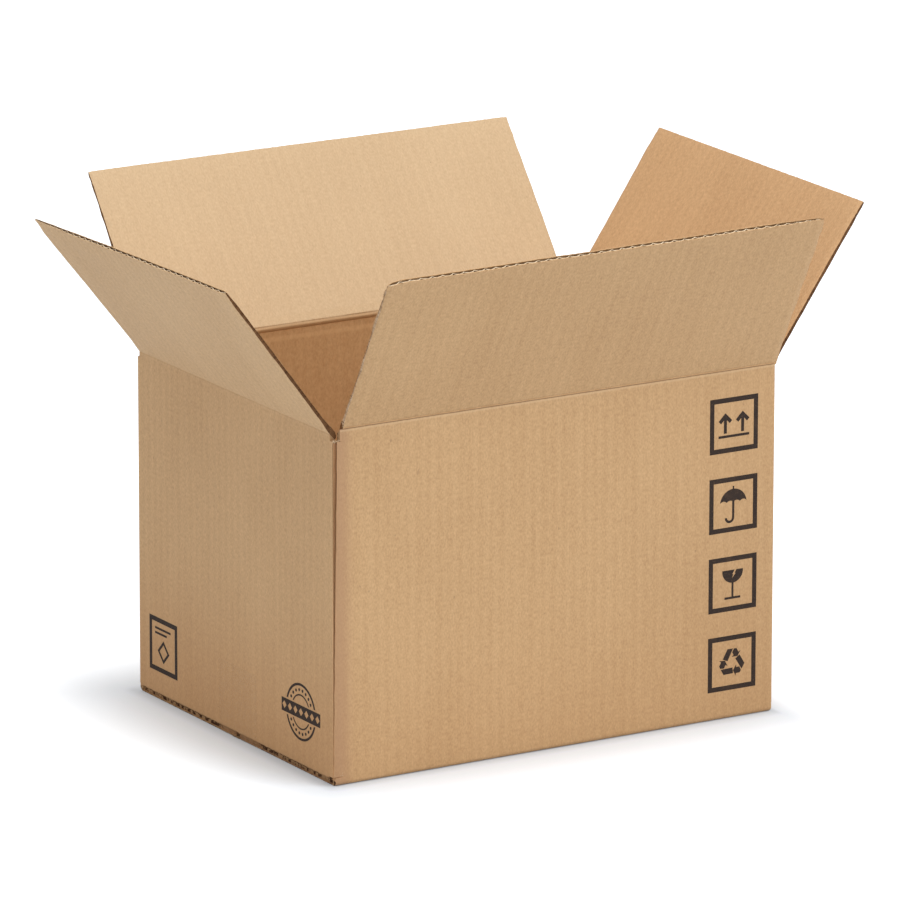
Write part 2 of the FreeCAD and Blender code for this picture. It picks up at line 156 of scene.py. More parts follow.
class Finish:
    """A material, and the one way that nodes are added to it."""

    def __init__(self, name, **settings):
        self.material = bpy.data.materials.new(name)
        self.material.use_nodes = True
        self.tree = self.material.node_tree
        self.surface = self.tree.nodes["Principled BSDF"]
        self.feed(self.surface, settings)

    def feed(self, node, inputs):
        for name, given in inputs.items():
            socket = node.inputs[name.replace("_", " ") if isinstance(name, str) else name]
            if isinstance(given, Signal):
                self.tree.links.new(given.socket, socket)
            elif socket.type == "RGBA":
                socket.default_value = (*given, 1)
            else:
                socket.default_value = given

    def add(self, kind, settings={}, inputs={}, output=0):
        node = self.tree.nodes.new(kind)
        for name, given in settings.items():
            setattr(node, name, given)
        self.feed(node, inputs)
        return Signal(self, node.outputs[output])

    def where(self, kind="Object"):
        """A place on the object, in metres, or with Normal the way that it faces."""
        return self.add("ShaderNodeTexCoord", output=kind)

    def parts(self, place, axes="XYZ"):
        """A place's distances along the axes."""
        return [self.add("ShaderNodeSeparateXYZ", inputs={0: place}, output=axis) for axis in axes]

    def mix(self, factor, first, second):
        """A colour between two others."""
        return self.add("ShaderNodeMix", {"data_type": "RGBA"}, {0: factor, 6: first, 7: second}, 2)

    def painted(self, colour, paints):
        """A colour with others laid over it, each through its own mask."""
        for mask, paint in paints:
            colour = self.mix(mask, colour, tint(*paint))
        return colour

    def grain(self, place, scale, detail=2.0):
        """Soft random spots, about 1 / scale metres wide, from 0 to 1."""
        return self.add("ShaderNodeTexNoise", {}, {"Vector": place, "Scale": scale, "Detail": detail})

    def relief(self, height, strength=1.0):
        """Bumps and hollows, from their height in metres."""
        return self.add("ShaderNodeBump", {}, {"Strength": strength, "Distance": 1.0, "Height": height})


def kraft(finish, across, up, through=0, light=KRAFT_LIGHT, dark=KRAFT_DARK, paints=()):
    """Brown kraft paper over flutes that run up. The three places are in metres."""
    place = finish.add("ShaderNodeCombineXYZ", {}, {0: across, 1: up * SPOT_STRETCH, 2: through})
    drawn_out = finish.add("ShaderNodeCombineXYZ", {}, {0: across, 1: up * STREAK_STRETCH})
    clouds = finish.grain(place, CLOUD_GRAIN)
    mottle = finish.grain(place, MOTTLE_GRAIN, 3)
    fibres = finish.grain(place, FIBRE_GRAIN)
    streaks = finish.grain(drawn_out, STREAK_GRAIN)
    ribs = (across * (FULL_TURN / FLUTE_PITCH) + clouds * 2).sine()
    tone = (0.5 + (clouds - 0.5) * CLOUD_TONE + (mottle - 0.5) * MOTTLE_TONE
            + (fibres - 0.5) * FIBRE_TONE + (streaks - 0.5) * STREAK_TONE + ribs * RIB_TONE)
    specks = finish.grain(place, SPECK_GRAIN, 1).rise(*SPECK_FADE) * SPECK_TONE
    colour = finish.mix(tone, tint(*dark), tint(*light))
    finish.feed(finish.surface, {
        "Base Color": finish.painted(colour, [(specks, SPECK), *paints]),
        "Normal": finish.relief(ribs * RIB_RELIEF + fibres * FIBRE_RELIEF, 0.9),
        "Roughness": ROUGH + (mottle - 0.5) * ROUGH_SPREAD})


def cut_edge(finish, along, through, paints=()):
    """The raw edge of the board: torn paper, with painted shade in the mouths of its flutes."""
    place = finish.add("ShaderNodeCombineXYZ", {}, {0: along, 1: through * TEAR_STRETCH})
    torn = finish.grain(place, TEAR_GRAIN, 1) * 0.8 + finish.grain(place, NICK_GRAIN) * 1.1
    mouths = torn + (along * (FULL_TURN / FLUTE_PITCH)).sine() * 0.1
    colour = finish.mix(mouths.rise(*MOUTH_SHADE_FADE), tint(*CUT_PALE), tint(*FLUTE_SHADE_DARK))
    finish.feed(finish.surface, {
        "Base Color": finish.painted(colour, paints),
        "Normal": finish.relief(finish.grain(place, FIBRE_GRAIN) * TORN_RELIEF)})


joints = {joint["child"]: joint for joint in frame["joints"]}
walls_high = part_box("carton_body")[1]
half_length = walls_high.x
half_width = walls_high.y
long_crease = walls_high.z
short_crease = joints["left_flap"]["pos_m"][2]
slot_floor = short_crease - SLOT_DEPTH
second_layer = BOARD + LAYER_GAP

# Where the walls are darker or paler than their paper. Each pair or four gives the distances
# between which a tone comes and goes: from the fold, from the joint, from the floor and from
# the middle of the front wall. These are painted light and shade: painted shade inside the
# box, low on the walls, at the bend beside the joint, towards the front wall's right end and
# in the crease, and painted highlights on the ridge under the score and on the crease's rounding.
SCORE_SHADE_FADE = (0.0009, 0.0002)
SCORE_SHADE_DARK = (112, 78, 50)
SHINE_BAND = (0.0006, 0.0011, 0.0014, 0.0026)
SHINE_PALE = (230, 198, 156)
RIDGE_HIGHLIGHT_BAND = (0.0070, 0.0088, 0.0100, 0.0120)
RIDGE_HIGHLIGHT_PALE = (224, 182, 132)
BEND_SHADE_FADE = (0.018, 0.004)
BEND_SHADE_TAN = (176, 132, 98)
FOOT_SHADE_FADE = (0.13, 0.0)
FOOT_SHADE_BROWN = (180, 118, 62)
RIGHT_SHADE_FADE = (0.02, 0.16)
RIGHT_SHADE_TAN = (160, 112, 68)
INSIDE_SHADE_TAN = (160, 112, 60)
INSIDE_SKIN = 0.0004
END_WALL_SHIFT = 0.5
ENDWAYS = 0.7

carton_paper = Finish("kraft_walls", Specular_IOR_Level=0.45)
wall_x, wall_y, wall_z = carton_paper.parts(carton_paper.where())
faces_x = carton_paper.parts(carton_paper.where("Normal"), "X")[0]
turned = abs(faces_x) > ENDWAYS
across = wall_x + turned * (wall_y - wall_x + END_WALL_SHIFT)
through = wall_y + turned * (wall_x - wall_y)
on_long_wall = 1 - turned
on_front = on_long_wall * (wall_y < 0)
below_fold = short_crease + on_long_wall * (long_crease - short_crease) - wall_z
inside = ((abs(wall_x) < half_length - BOARD + INSIDE_SKIN)
          * (abs(wall_y) < half_width - BOARD + INSIDE_SKIN) * (wall_z > BOARD / 2))
kraft(carton_paper, across, wall_z, through, paints=[
    # painted shade inside the box
    (inside * 0.25, INSIDE_SHADE_TAN),
    # a painted highlight on the pressed ridge below the score, inside the box
    (inside * below_fold.band(*RIDGE_HIGHLIGHT_BAND) * 0.3, RIDGE_HIGHLIGHT_PALE),
    # painted shade, darker towards the floor, more on the end walls
    (wall_z.rise(*FOOT_SHADE_FADE) * (0.1 + turned * 0.22), FOOT_SHADE_BROWN),
    # painted shade on the front wall's rounded bend beside the joint
    ((wall_x + half_length).rise(*BEND_SHADE_FADE) * on_front * 0.6, BEND_SHADE_TAN),
    # painted shade towards the front wall's right end
    (wall_x.rise(*RIGHT_SHADE_FADE) * on_front * 0.12, RIGHT_SHADE_TAN),
    # a painted highlight on the crease's rounding, just below the fold
    (below_fold.band(*SHINE_BAND) * (0.05 + on_long_wall * 0.3), SHINE_PALE),
    # painted shade in the crease's valley at the fold
    (below_fold.rise(*SCORE_SHADE_FADE) * (0.12 + on_long_wall * 0.63), SCORE_SHADE_DARK)])

# The raw edges are paler where the tape lies on them. At the glued joint they are paler as
# painted light that lifts the recess's shade, with a dark line of painted shade in the gap on
# its upper part, and they are darker as painted shade in the slot beside the front wall.
TAPE_MIDDLE = -0.0045
TAPED_HALF_WIDTH = 0.0255
TAPED_HEIGHT = 0.009
TAPED_REACH = 0.02
TAPED_TAN = (172, 132, 94)
JOINT_FOOT_CUT = 0.0055
JOINT_LIFT_PALE = (222, 176, 130)
JOINT_GAP_SHADE = (104, 72, 42)
JOINT_LINE = 0.0012
GAP_SHADE_FADE = (0.10, 0.20)
SLOT_SIDE = 0.0013
SLOT_SHADE_DARK = (84, 56, 34)

raw_board = Finish("raw_board_edge", Roughness=0.95, Specular_IOR_Level=0.15)
raw_x, raw_y, raw_z = raw_board.parts(raw_board.where())
# painted light at the joint, lifting the shade of its recess
on_joint = (raw_z > JOINT_FOOT_CUT) * (raw_z < slot_floor - 0.0008) * (raw_y < 0)
# painted shade in the joint's gap, on its upper part
joint_gap_shade = on_joint * raw_z.rise(*GAP_SHADE_FADE) * (raw_y < JOINT_LINE - half_width)
taped = ((abs(raw_y - TAPE_MIDDLE) < TAPED_HALF_WIDTH) * (raw_z < TAPED_HEIGHT)
         * (abs(raw_x) > half_length - TAPED_REACH))
# painted shade in the slot beside the front wall
slot_side_shade = (raw_z > slot_floor + 0.0002) * (raw_y < BOARD - half_width) * (raw_x < SLOT_SIDE - half_length)
cut_edge(raw_board, raw_x + raw_y, raw_z, paints=[
    (taped * 0.8, TAPED_TAN), (on_joint * 0.9, JOINT_LIFT_PALE), (joint_gap_shade * 0.8, JOINT_GAP_SHADE),
    (slot_side_shade * 0.85, SLOT_SHADE_DARK)])

# How squarely a face looks along an axis, and where the level cuts at the joint's foot lie.
SQUARE_ON = 0.9
LEVEL = 0.95
FOOT_CUT = (0.005, 0.0075)
JOINT_DEPTH = 0.0025


def is_cut(centre, normal):
    """Whether a face of the carton is a raw cut through the board, not paper."""
    x, y, z = abs(centre.x), abs(centre.y), centre.z
    endways = abs(normal.x) > SQUARE_ON
    sideways = abs(normal.y) > SQUARE_ON
    level = abs(normal.z) > LEVEL
    rim_end = z > slot_floor and (endways and y > half_width - BOARD or sideways and x > half_length - BOARD)
    slot = level and (z > slot_floor - 0.001 or FOOT_CUT[0] < z < FOOT_CUT[1])
    side_joint = (centre.x < BOARD - half_length and centre.y < JOINT_DEPTH - half_width
                  and normal.x > -SQUARE_ON and z > FOOT_CUT[0])
    bottom_side = endways and z < second_layer and x < half_length - 0.001
    bottom_end = sideways and z < BOARD + second_layer and y < half_width - 0.005
    bottom_lip = endways and BOARD < z < BOARD + second_layer and x < half_length / 2
    return rim_end or slot or side_joint or bottom_side or bottom_end or bottom_lip


def paint(piece, *finishes):
    """The only finishes of a piece. All its faces go back to the first."""
    piece.data.materials.clear()
    for finish in finishes:
        piece.data.materials.append(finish.material)


def from_solid(name, node):
    """A piece of the scene in the form of one of the frame's solids."""
    piece = bpy.data.objects.new(name, frame["nodes"][node].data.copy())
    bpy.context.collection.objects.link(piece)
    return piece


carton = from_solid("carton_walls", "carton_body")
paint(carton, carton_paper, raw_board)
for face in carton.data.polygons:
    face.material_index = 1 if is_cut(face.center, face.normal) else 0
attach(carton, "carton")
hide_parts("carton_body")


# Top flaps. Each is the same board as the walls, with real flutes between two liners, crushed
# a little at the free edge where it was cut, and slightly bent by handling. It hangs on its
# crease, where the board is pressed thin.
FLAP_LENGTH = 0.126
LINER = 0.0004
MEDIUM = 0.00042
SCORE_WIDTH = 0.0012
SCORE_ROWS = [0, 0.0006, 0.0012, 0.002]
SCORED_FOOT = 0.0009
EDGE_FRAY = 0.00025
EDGE_FRAY_REACH = 0.004
EDGE_CRUSH_REACH = 0.016
SHUT_CRUSH = 0.36
SIDE_CRUSH = 0.44
SIDE_CRUSH_REACH = 0.003
TORN_CRUSH = 0.1
THINNEST = 0.2
RIPPLE = 0.0004
START_DROP = 0.0012
START_DROP_REACH = 0.006
END_DROP = 0.0024
END_DROP_REACH = 0.013
FLUTE_INSET = 0.0006
FLUTE_SHORT = 0.0004
SIDE_STRIP = (0.0014, 0.0004)
SIDE_SHORT = 0.0006
STRAND_RADIUS = (0.00012, 0.00028)
STRAND_RING = ((1, 0, 0.5), (-0.5, 0.8, 0.5), (-0.3, -0.8, -0.7))
MEDIUM_BROWN = (150, 112, 76)
LIP_PALE = (240, 222, 194)
LIP_DARK = (205, 176, 140)
SIDE_PALE = (238, 214, 182)
SIDE_TAN = (164, 126, 88)
SIDE_BROWN = (134, 96, 62)
SIDE_SHADE_DARK = (76, 50, 32)
STEPS_PER_FLUTE = 12
STEPS_UP = 14
EDGE_STEPS = 8
EDGE_STEPS_REACH = 0.014

# How each flap differs from its solid, in metres. Its start and its end are the two ends of
# its crease. bend is how far its free corners lie out of flat and longer how far they reach,
# at the start and at the end; a side is how far it reaches past the solid at the crease and
# at the free edge; aslant is how far the end side is cut aslant at the free edge; score is the
# depth of its score, crush the share of its thickness lost at the free edge; shut is the end,
# -1 or 1, from which its flutes are pressed shut there, and how far.
# Each flap's own light and dark paper colours are set to the light that falls on it: the back and left flaps
# are paler, a painted sheen.
FLAPS = {
    "front_flap": {
        "seed": 1.3, "lit_tones": (KRAFT_LIGHT, KRAFT_DARK),
        "bend": (0.0006, 0.0015), "longer": (0.0004, -0.0016), "start_side": (0.0049, 0.0024),
        "end_side": (-0.0023, -0.0010), "aslant": 0.0, "score": 0.0005, "crush": 0.16, "shut": (-1, 0.026)},
    "back_flap": {
        "seed": 2.7, "lit_tones": ((216, 187, 148), (196, 165, 126)),
        "bend": (0.0, 0.0), "longer": (-0.0002, -0.0009), "start_side": (0.0, 0.0),
        "end_side": (0.0, -0.0020), "aslant": 0.0018, "score": 0.0005, "crush": 0.3, "shut": None},
    "left_flap": {
        "seed": 3.9, "lit_tones": ((228, 191, 144), (197, 157, 112)),
        "bend": (-0.0029, 0.0003), "longer": (0.0026, 0.0), "start_side": (0.0, 0.0),
        "end_side": (0.0, 0.0022), "aslant": 0.0, "score": 0.0002, "crush": 0.32, "shut": (1, 0.06)},
    "right_flap": {
        "seed": 5.1, "lit_tones": ((224, 182, 134), (193, 149, 103)),
        "bend": (-0.0018, -0.0005), "longer": (-0.0006, -0.0006), "start_side": (0.0, 0.0),
        "end_side": (0.0, 0.0), "aslant": 0.0, "score": 0.0002, "crush": 0.3, "shut": None},
}


def even(start, end, steps):
    return [start + (end - start) * step / steps for step in range(steps + 1)]


def between(pair, share):
    """A value on the way from the first of a pair to the second."""
    return pair[0] + (pair[1] - pair[0]) * share


def held(value):
    """A value kept between 0 and 1."""
    return min(max(value, 0), 1)


def fading(distance, reach):
    """1 at an edge, and evenly down to 0 at the reach from it."""
    return max(0, 1 - distance / reach)


def wander(*place):
    """A smooth random value at a place, from -1 to 1."""
    return noise.noise(place)


def board_piece(mesh, name, finishes):
    """A piece of board made of a finished mesh."""
    bmesh.ops.recalc_face_normals(mesh, faces=mesh.faces[:])
    data = bpy.data.meshes.new(name)
    mesh.to_mesh(data)
    mesh.free()
    for finish in finishes:
        data.materials.append(finish.material)
    piece = bpy.data.objects.new(name, data)
    bpy.context.collection.objects.link(piece)
    return piece


class Sheet:
    """Closed shells of paper, gathered into one mesh, placed by their distance along the
    crease, up from it and out from the outer face, in metres."""

    def __init__(self, placed, seed):
        self.mesh = bmesh.new()
        self.uv = self.mesh.loops.layers.uv.new("paper")
        self.placed = placed
        self.seed = seed
        self.chance = random.Random(seed)

    def point(self, *place):
        return self.mesh.verts.new(self.placed(*place))

    def shell(self, columns, rows, inner, outer, skin, rim, side):
        """Two grids joined round their rim. inner and outer give the distance out at a place."""
        low, high = ([[self.point(u, v, depth(u, v)) for v in rows] for u in columns]
                     for depth in (inner, outer))
        last_u, last_v = len(columns) - 1, len(rows) - 1
        for i in range(last_u):
            for j in range(last_v):
                corners = [(i, j), (i + 1, j), (i + 1, j + 1), (i, j + 1)]
                self.face([high[a][b] for a, b in corners], corners, columns, rows, skin)
                self.face([low[a][b] for a, b in reversed(corners)], corners[::-1], columns, rows, skin)
        rims = [((i, 0), (i + 1, 0), rim) for i in range(last_u)]
        rims += [((last_u, j), (last_u, j + 1), side) for j in range(last_v)]
        rims += [((i + 1, last_v), (i, last_v), rim) for i in range(last_u)]
        rims += [((0, j + 1), (0, j), side) for j in range(last_v)]
        for start, end, material in rims:
            (i, j), (next_i, next_j) = start, end
            verts = [low[i][j], low[next_i][next_j], high[next_i][next_j], high[i][j]]
            self.face(verts, [start, end, end, start], columns, rows, material)

    def face(self, verts, corners, columns, rows, material):
        face = self.mesh.faces.new(verts)
        face.material_index = material
        for loop, (i, j) in zip(face.loops, corners):
            loop[self.uv].uv = (columns[i] + self.seed, rows[j] + self.seed)

    def fibre(self, root, tip, radius, material):
        """A torn strand of paper, from its root to its tip."""
        ring = [self.point(*(middle + step * radius for middle, step in zip(root, around)))
                for around in STRAND_RING]
        first, second, third = ring
        end = self.point(*tip)
        for verts in ((first, second, end), (second, third, end), (third, first, end), ring):
            face = self.mesh.faces.new(verts)
            face.material_index = material
            for loop in face.loops:
                loop[self.uv].uv = (root[0] + self.seed, root[1] + self.seed)

    def tuft(self, centre, spread, reach, count, material):
        """Torn strands round a centre. spread and reach are how far their roots and tips stray."""
        for _ in range(count):
            root = [middle + self.chance.uniform(-1, 1) * stray for middle, stray in zip(centre, spread)]
            tip = [start + self.chance.uniform(low, high) for start, (low, high) in zip(root, reach)]
            self.fibre(root, tip, self.chance.uniform(*STRAND_RADIUS), material)


def sheet_places(finish):
    """The distances along a sheet and up from its crease."""
    return finish.parts(finish.add("ShaderNodeUVMap", {"uv_map": "paper"}), "XY")


def paper_finish(name, light, dark, specular=0.1):
    """Paper whose places are the distances along its sheet and up from the crease."""
    finish = Finish(name, Specular_IOR_Level=specular)
    across, up = sheet_places(finish)
    kraft(finish, across, up, light=light, dark=dark)
    return finish


# The medium is brown paper; its dark tone is painted shade deep in the flutes.
flute_paper = paper_finish("flute_paper", MEDIUM_BROWN, FLUTE_SHADE_DARK)
lip_paper = paper_finish("cut_paper_lip", LIP_PALE, LIP_DARK)
# Cut sides are brown paper, darker as painted shade of the open flutes between the liners.
knife_side = paper_finish("knife_cut_side", SIDE_BROWN, SIDE_SHADE_DARK)
torn_side = paper_finish("torn_side", SIDE_PALE, SIDE_TAN)
SKIN, FLUTE, LIP, SIDE, TORN = range(5)


def hinge(child):
    """A flap's crease: its middle, its direction, and how far the flap leans out at rest."""
    joint = joints[child]
    return Vector(joint["pos_m"]), Vector(joint["axis"]), math.radians(joint["range_deg"][1] - 90)


def half_run(child, along):
    """Half of the solid flap's width along its crease."""
    low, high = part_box(child)
    return abs((high - low).dot(along)) / 2


def top_flap(child):
    flap = FLAPS[child]
    seed = flap["seed"]
    torn = child == "front_flap"
    middle, along, lean = hinge(child)
    half = half_run(child, along)
    outward = Vector((0, 0, 1)).cross(along)
    up = Vector((0, 0, math.cos(lean))) + outward * math.sin(lean)
    out = outward * math.cos(lean) - Vector((0, 0, math.sin(lean)))

    def edge_share(v):
        """How near a place is to the free edge, from 0 to 1 at the edge."""
        return min(fading(FLAP_LENGTH - v, EDGE_CRUSH_REACH), 1) ** 2

    def pressed_shut(u):
        """How far the flutes are pressed shut at a place along the free edge."""
        if not flap["shut"]:
            return 0
        end, reach = flap["shut"]
        return fading(half - end * u, reach)

    def dropped(u):
        """How far the torn flap's free edge is worn down near its two corners."""
        at_end = fading(half - u, END_DROP_REACH) ** 2
        return torn * (START_DROP * fading(u + half, START_DROP_REACH) + END_DROP * at_end)

    def placed(u, v, w):
        share = held((u / half + 1) / 2)
        height = held(v / FLAP_LENGTH)
        raised = max(v - BOARD, 0) / FLAP_LENGTH
        near_edge = edge_share(v)
        near_side = fading(half - abs(u), SIDE_CRUSH_REACH) * min(1, height * 12)
        fray = fading(FLAP_LENGTH - v, EDGE_FRAY_REACH)
        edge_chance = 1 + 0.3 * wander(u * 60, seed, 0)
        side_chance = 1 + 0.5 * wander(v * 90, seed, 3)
        squeeze = (1 - (flap["crush"] + SHUT_CRUSH * pressed_shut(u)) * near_edge * edge_chance
                   - (SIDE_CRUSH + TORN_CRUSH * torn) * near_side * side_chance)
        w = -BOARD / 2 + (w + BOARD / 2) * max(squeeze, THINNEST)
        w += raised * (between(flap["bend"], share) + RIPPLE * wander(u * 30 + seed, v * 30, seed))
        w += fray * EDGE_FRAY * wander(u * 500, seed + 5, 0)
        v += fray * EDGE_FRAY * wander(u * 900, seed, w * 2000) - dropped(u) * near_edge
        v += height * between(flap["longer"], share)
        u += near_side * EDGE_FRAY * (1.5 + 3 * torn) * wander(v * (700 - 400 * torn), seed + 9, w * 900)
        u += between(flap["end_side"], height) * share
        u += flap["aslant"] * height ** 2 * share * (0.5 + w / BOARD)
        u -= between(flap["start_side"], height) * (1 - share)
        return middle + along * u + up * v + out * w

    def pinched(u, v):
        return -flap["score"] * math.exp(-(v / SCORE_WIDTH) ** 2)

    def liner(v):
        """The liners fluff out where they are cut."""
        return LINER * (1 + 0.3 * edge_share(v))

    def web(v):
        """Half of the medium, which fluffs out more."""
        return MEDIUM / 2 * (1 + 0.9 * edge_share(v))

    def wave(u, v):
        """Flutes, whose crowns are pushed aside where the edge is crushed."""
        round_flute = math.cos(FULL_TURN * u / FLUTE_PITCH + seed)
        crushed_flute = 1 - 2 * ((1 - round_flute) / 2) ** 0.35
        sway = round_flute + (-crushed_flute - round_flute) * edge_share(v)
        return -BOARD / 2 + (BOARD / 2 - liner(v) - web(v)) * sway

    sheet = Sheet(placed, seed)
    flutes = round(2 * half / FLUTE_PITCH)
    wide = even(-half, half, flutes * 4)
    fine = even(-half + FLUTE_INSET, half - FLUTE_INSET, flutes * STEPS_PER_FLUTE)
    tall = even(BOARD, FLAP_LENGTH - EDGE_CRUSH_REACH, STEPS_UP)
    tall += even(FLAP_LENGTH - EDGE_STEPS_REACH, FLAP_LENGTH, EDGE_STEPS)
    sheet.shell(wide, SCORE_ROWS + tall, lambda u, v: pinched(u, v) - liner(v), pinched, SKIN, SKIN, SIDE)
    sheet.shell(wide, tall, lambda u, v: -BOARD, lambda u, v: liner(v) - BOARD, SKIN, SKIN, SIDE)
    sheet.shell(fine, tall[:-1] + [FLAP_LENGTH - FLUTE_SHORT],
                lambda u, v: wave(u, v) - web(v), lambda u, v: wave(u, v) + web(v), FLUTE, LIP, SIDE)
    sheet.shell(wide, [SCORED_FOOT, BOARD], lambda u, v: -v,
                lambda u, v: pinched(u, v) - LINER * 1.02, FLUTE, FLUTE, SIDE)
    for end in (-1, 1):
        strip = sorted(end * (half - inset) for inset in SIDE_STRIP)
        sheet.shell(strip, tall[:-1] + [FLAP_LENGTH - SIDE_SHORT],
                    lambda u, v: liner(v) - BOARD, lambda u, v: -liner(v), SIDE, SIDE, SIDE)
    sheet.tuft((0, FLAP_LENGTH - 0.0002, -BOARD / 2), (half, 0.0002, BOARD * 0.4),
               ((-0.0006, 0.0006), (0.0001, 0.0005), (-0.0003, 0.0003)), 60, LIP)
    if torn:
        for shade, count in ((TORN, 110), (FLUTE, 60)):
            sheet.tuft((half - 0.0002, FLAP_LENGTH / 2, -BOARD / 2), (0.0004, FLAP_LENGTH / 2, BOARD * 0.45),
                       ((-0.0006, 0.0014), (-0.002, 0.002), (-0.0005, 0.0007)), count, shade)
        sheet.tuft((-half + 0.012, FLAP_LENGTH - 0.0006, -BOARD / 2), (0.012, 0.0004, BOARD * 0.4),
                   ((-0.0012, 0.0006), (0, 0.0008), (-0.0003, 0.0005)), 50, LIP)
        sheet.tuft((half - 0.001, 0.0015, -0.0006), (0.0012, 0.0025, 0.0006),
                   ((-0.0004, 0.0016), (-0.0024, 0.001), (-0.0002, 0.0008)), 26, TORN)
    skin = paper_finish("kraft_" + child, *flap["lit_tones"], specular=0.45)
    side = torn_side if torn else knife_side
    piece = board_piece(sheet.mesh, child + "_board", [skin, flute_paper, lip_paper, side, torn_side])
    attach(piece, child)
    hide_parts(child)


for child in FLAPS:
    top_flap(child)


# Crushed folds. At each crease the board is pressed thin along a score. The flap's inner liner
# hangs a little below it as a soft lip and turns back to the wall.
FOLD_COLUMNS = 80
FOLD_STEPS = 48
FOLD_HANG = 0.0003
LIP_ROUNDING = 0.0007
LIP_WIDTH = 0.16
LIP_SHADE_FADE = (-0.0006, -0.0022)
LIP_SHADE_TAN = (176, 132, 84)


def fold_finish(child):
    """The flap's paper above the fold's lip, and darker below it, a painted shade where the paper turns in.
    """
    finish = Finish(child + "_fold_paper", Specular_IOR_Level=0.35)
    across, up = sheet_places(finish)
    light, dark = FLAPS[child]["lit_tones"]
    # painted shade under the fold's lip
    lip_shade = up.rise(*LIP_SHADE_FADE) * 0.6
    kraft(finish, across, up, light=light, dark=dark, paints=[(lip_shade, LIP_SHADE_TAN)])
    return finish


def crushed_fold(child, seed):
    middle, along, lean = hinge(child)
    half = half_run(child, along)
    level_out = Vector((0, 0, 1)).cross(along)
    corner = BOARD * math.sqrt(2)
    low_angle = -math.pi / 4
    high_angle = math.pi / 4 + lean
    ridge = (low_angle + high_angle) / 2
    columns = even(-half - FLAPS[child]["start_side"][0], half + FLAPS[child]["end_side"][0], FOLD_COLUMNS)
    angles = even(low_angle, high_angle, FOLD_STEPS)
    heights = [BOARD * math.tan(angle - ridge) for angle in angles]
    hang_in = (BOARD + FOLD_HANG * math.sin(lean)) / math.cos(lean)
    knee = -math.atan2(FOLD_HANG, hang_in)

    def reach(angle, u):
        """How far the inner face is from the crease, looking in at this angle."""
        if angle in (low_angle, high_angle):
            return corner
        share = min((angle - low_angle) / (knee - low_angle), 1)
        flat = between((corner, BOARD / math.cos(lean - max(angle, knee))), share)
        ragged = 1 + 0.5 * wander(u * 60, seed, 0)
        return flat - LIP_ROUNDING * ragged * math.exp(-((angle - knee) / LIP_WIDTH) ** 2)

    def towards(angle):
        return Vector((0, 0, math.sin(angle))) - level_out * math.cos(angle)

    mesh = bmesh.new()
    uv = mesh.loops.layers.uv.new("paper")
    spine = [mesh.verts.new(middle + along * u) for u in columns]
    rows = [[mesh.verts.new(middle + along * u + towards(angle) * reach(angle, u)) for u in columns]
            for angle in angles]

    def face(verts, places, material=0):
        made = mesh.faces.new(verts)
        made.material_index = material
        for loop, (u, height) in zip(made.loops, places):
            loop[uv].uv = (u + seed, height)

    for i in range(FOLD_COLUMNS):
        u, after = columns[i], columns[i + 1]
        for j in range(FOLD_STEPS):
            face([rows[j][i], rows[j][i + 1], rows[j + 1][i + 1], rows[j + 1][i]],
                 [(u, heights[j]), (after, heights[j]), (after, heights[j + 1]), (u, heights[j + 1])])
        face([spine[i], spine[i + 1], rows[0][i + 1], rows[0][i]], [(u, heights[0])] * 4)
        face([spine[i + 1], spine[i], rows[-1][i], rows[-1][i + 1]], [(u, heights[-1])] * 4)
    for end in (0, -1):
        for j in range(FOLD_STEPS):
            face([spine[end], rows[j][end], rows[j + 1][end]], [(columns[end], heights[j])] * 3, 1)
    piece = board_piece(mesh, child + "_fold", [fold_finish(child), knife_side])
    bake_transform(piece)


for number, child in enumerate(FLAPS):
    crushed_fold(child, number + 0.4)


# Side joint. The front wall's margin covers the raw edge of the left wall, less and less of
# it towards the top, and torn paper shows at its two ends. It is glued on.
SUNK = 0.00005
MARGIN_DEPTH = 0.00105
MARGIN_ROOT = -half_length + 2 * BOARD - SUNK
MARGIN_EDGE = (-half_length + 0.0004, -half_length + 0.0028)
MARGIN_RAGGED = 0.0003
JOINT_FOOT = 0.0062
MARGIN_SKIN, MARGIN_RAW, MARGIN_TORN = range(3)


def on_margin(u, v, w):
    """A place on the margin, whose u runs from 0 at its root to 1 at its ragged edge."""
    share = (v - JOINT_FOOT) / (slot_floor - JOINT_FOOT)
    edge = between(MARGIN_EDGE, share) + MARGIN_RAGGED * wander(v * 90, 0, 4)
    return Vector((between((MARGIN_ROOT, edge), u), w, v))


margin = Sheet(on_margin, 6.3)
margin.shell([0, 1], even(JOINT_FOOT, slot_floor - 0.0002, 60), lambda u, v: MARGIN_DEPTH - half_width,
             lambda u, v: -half_width, MARGIN_SKIN, MARGIN_RAW, MARGIN_RAW)
margin.placed = lambda u, v, w: Vector((u, w, v))
margin.tuft((-half_length + 0.003, slot_floor, 0.0012 - half_width), (0.003, 0.0004, 0.0009),
            ((-0.0014, 0.0014), (-0.0022, 0.0014), (-0.0006, 0.0002)), 46, MARGIN_TORN)
margin.tuft((-half_length + 0.0065, 0.0075, 0.0001 - half_width), (0.0012, 0.001, 0.0001),
            ((-0.001, 0.001), (-0.0008, 0.001), (-0.0002, 0.0001)), 18, MARGIN_TORN)
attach(board_piece(margin.mesh, "front_margin", [carton_paper, raw_board, lip_paper]), "carton")

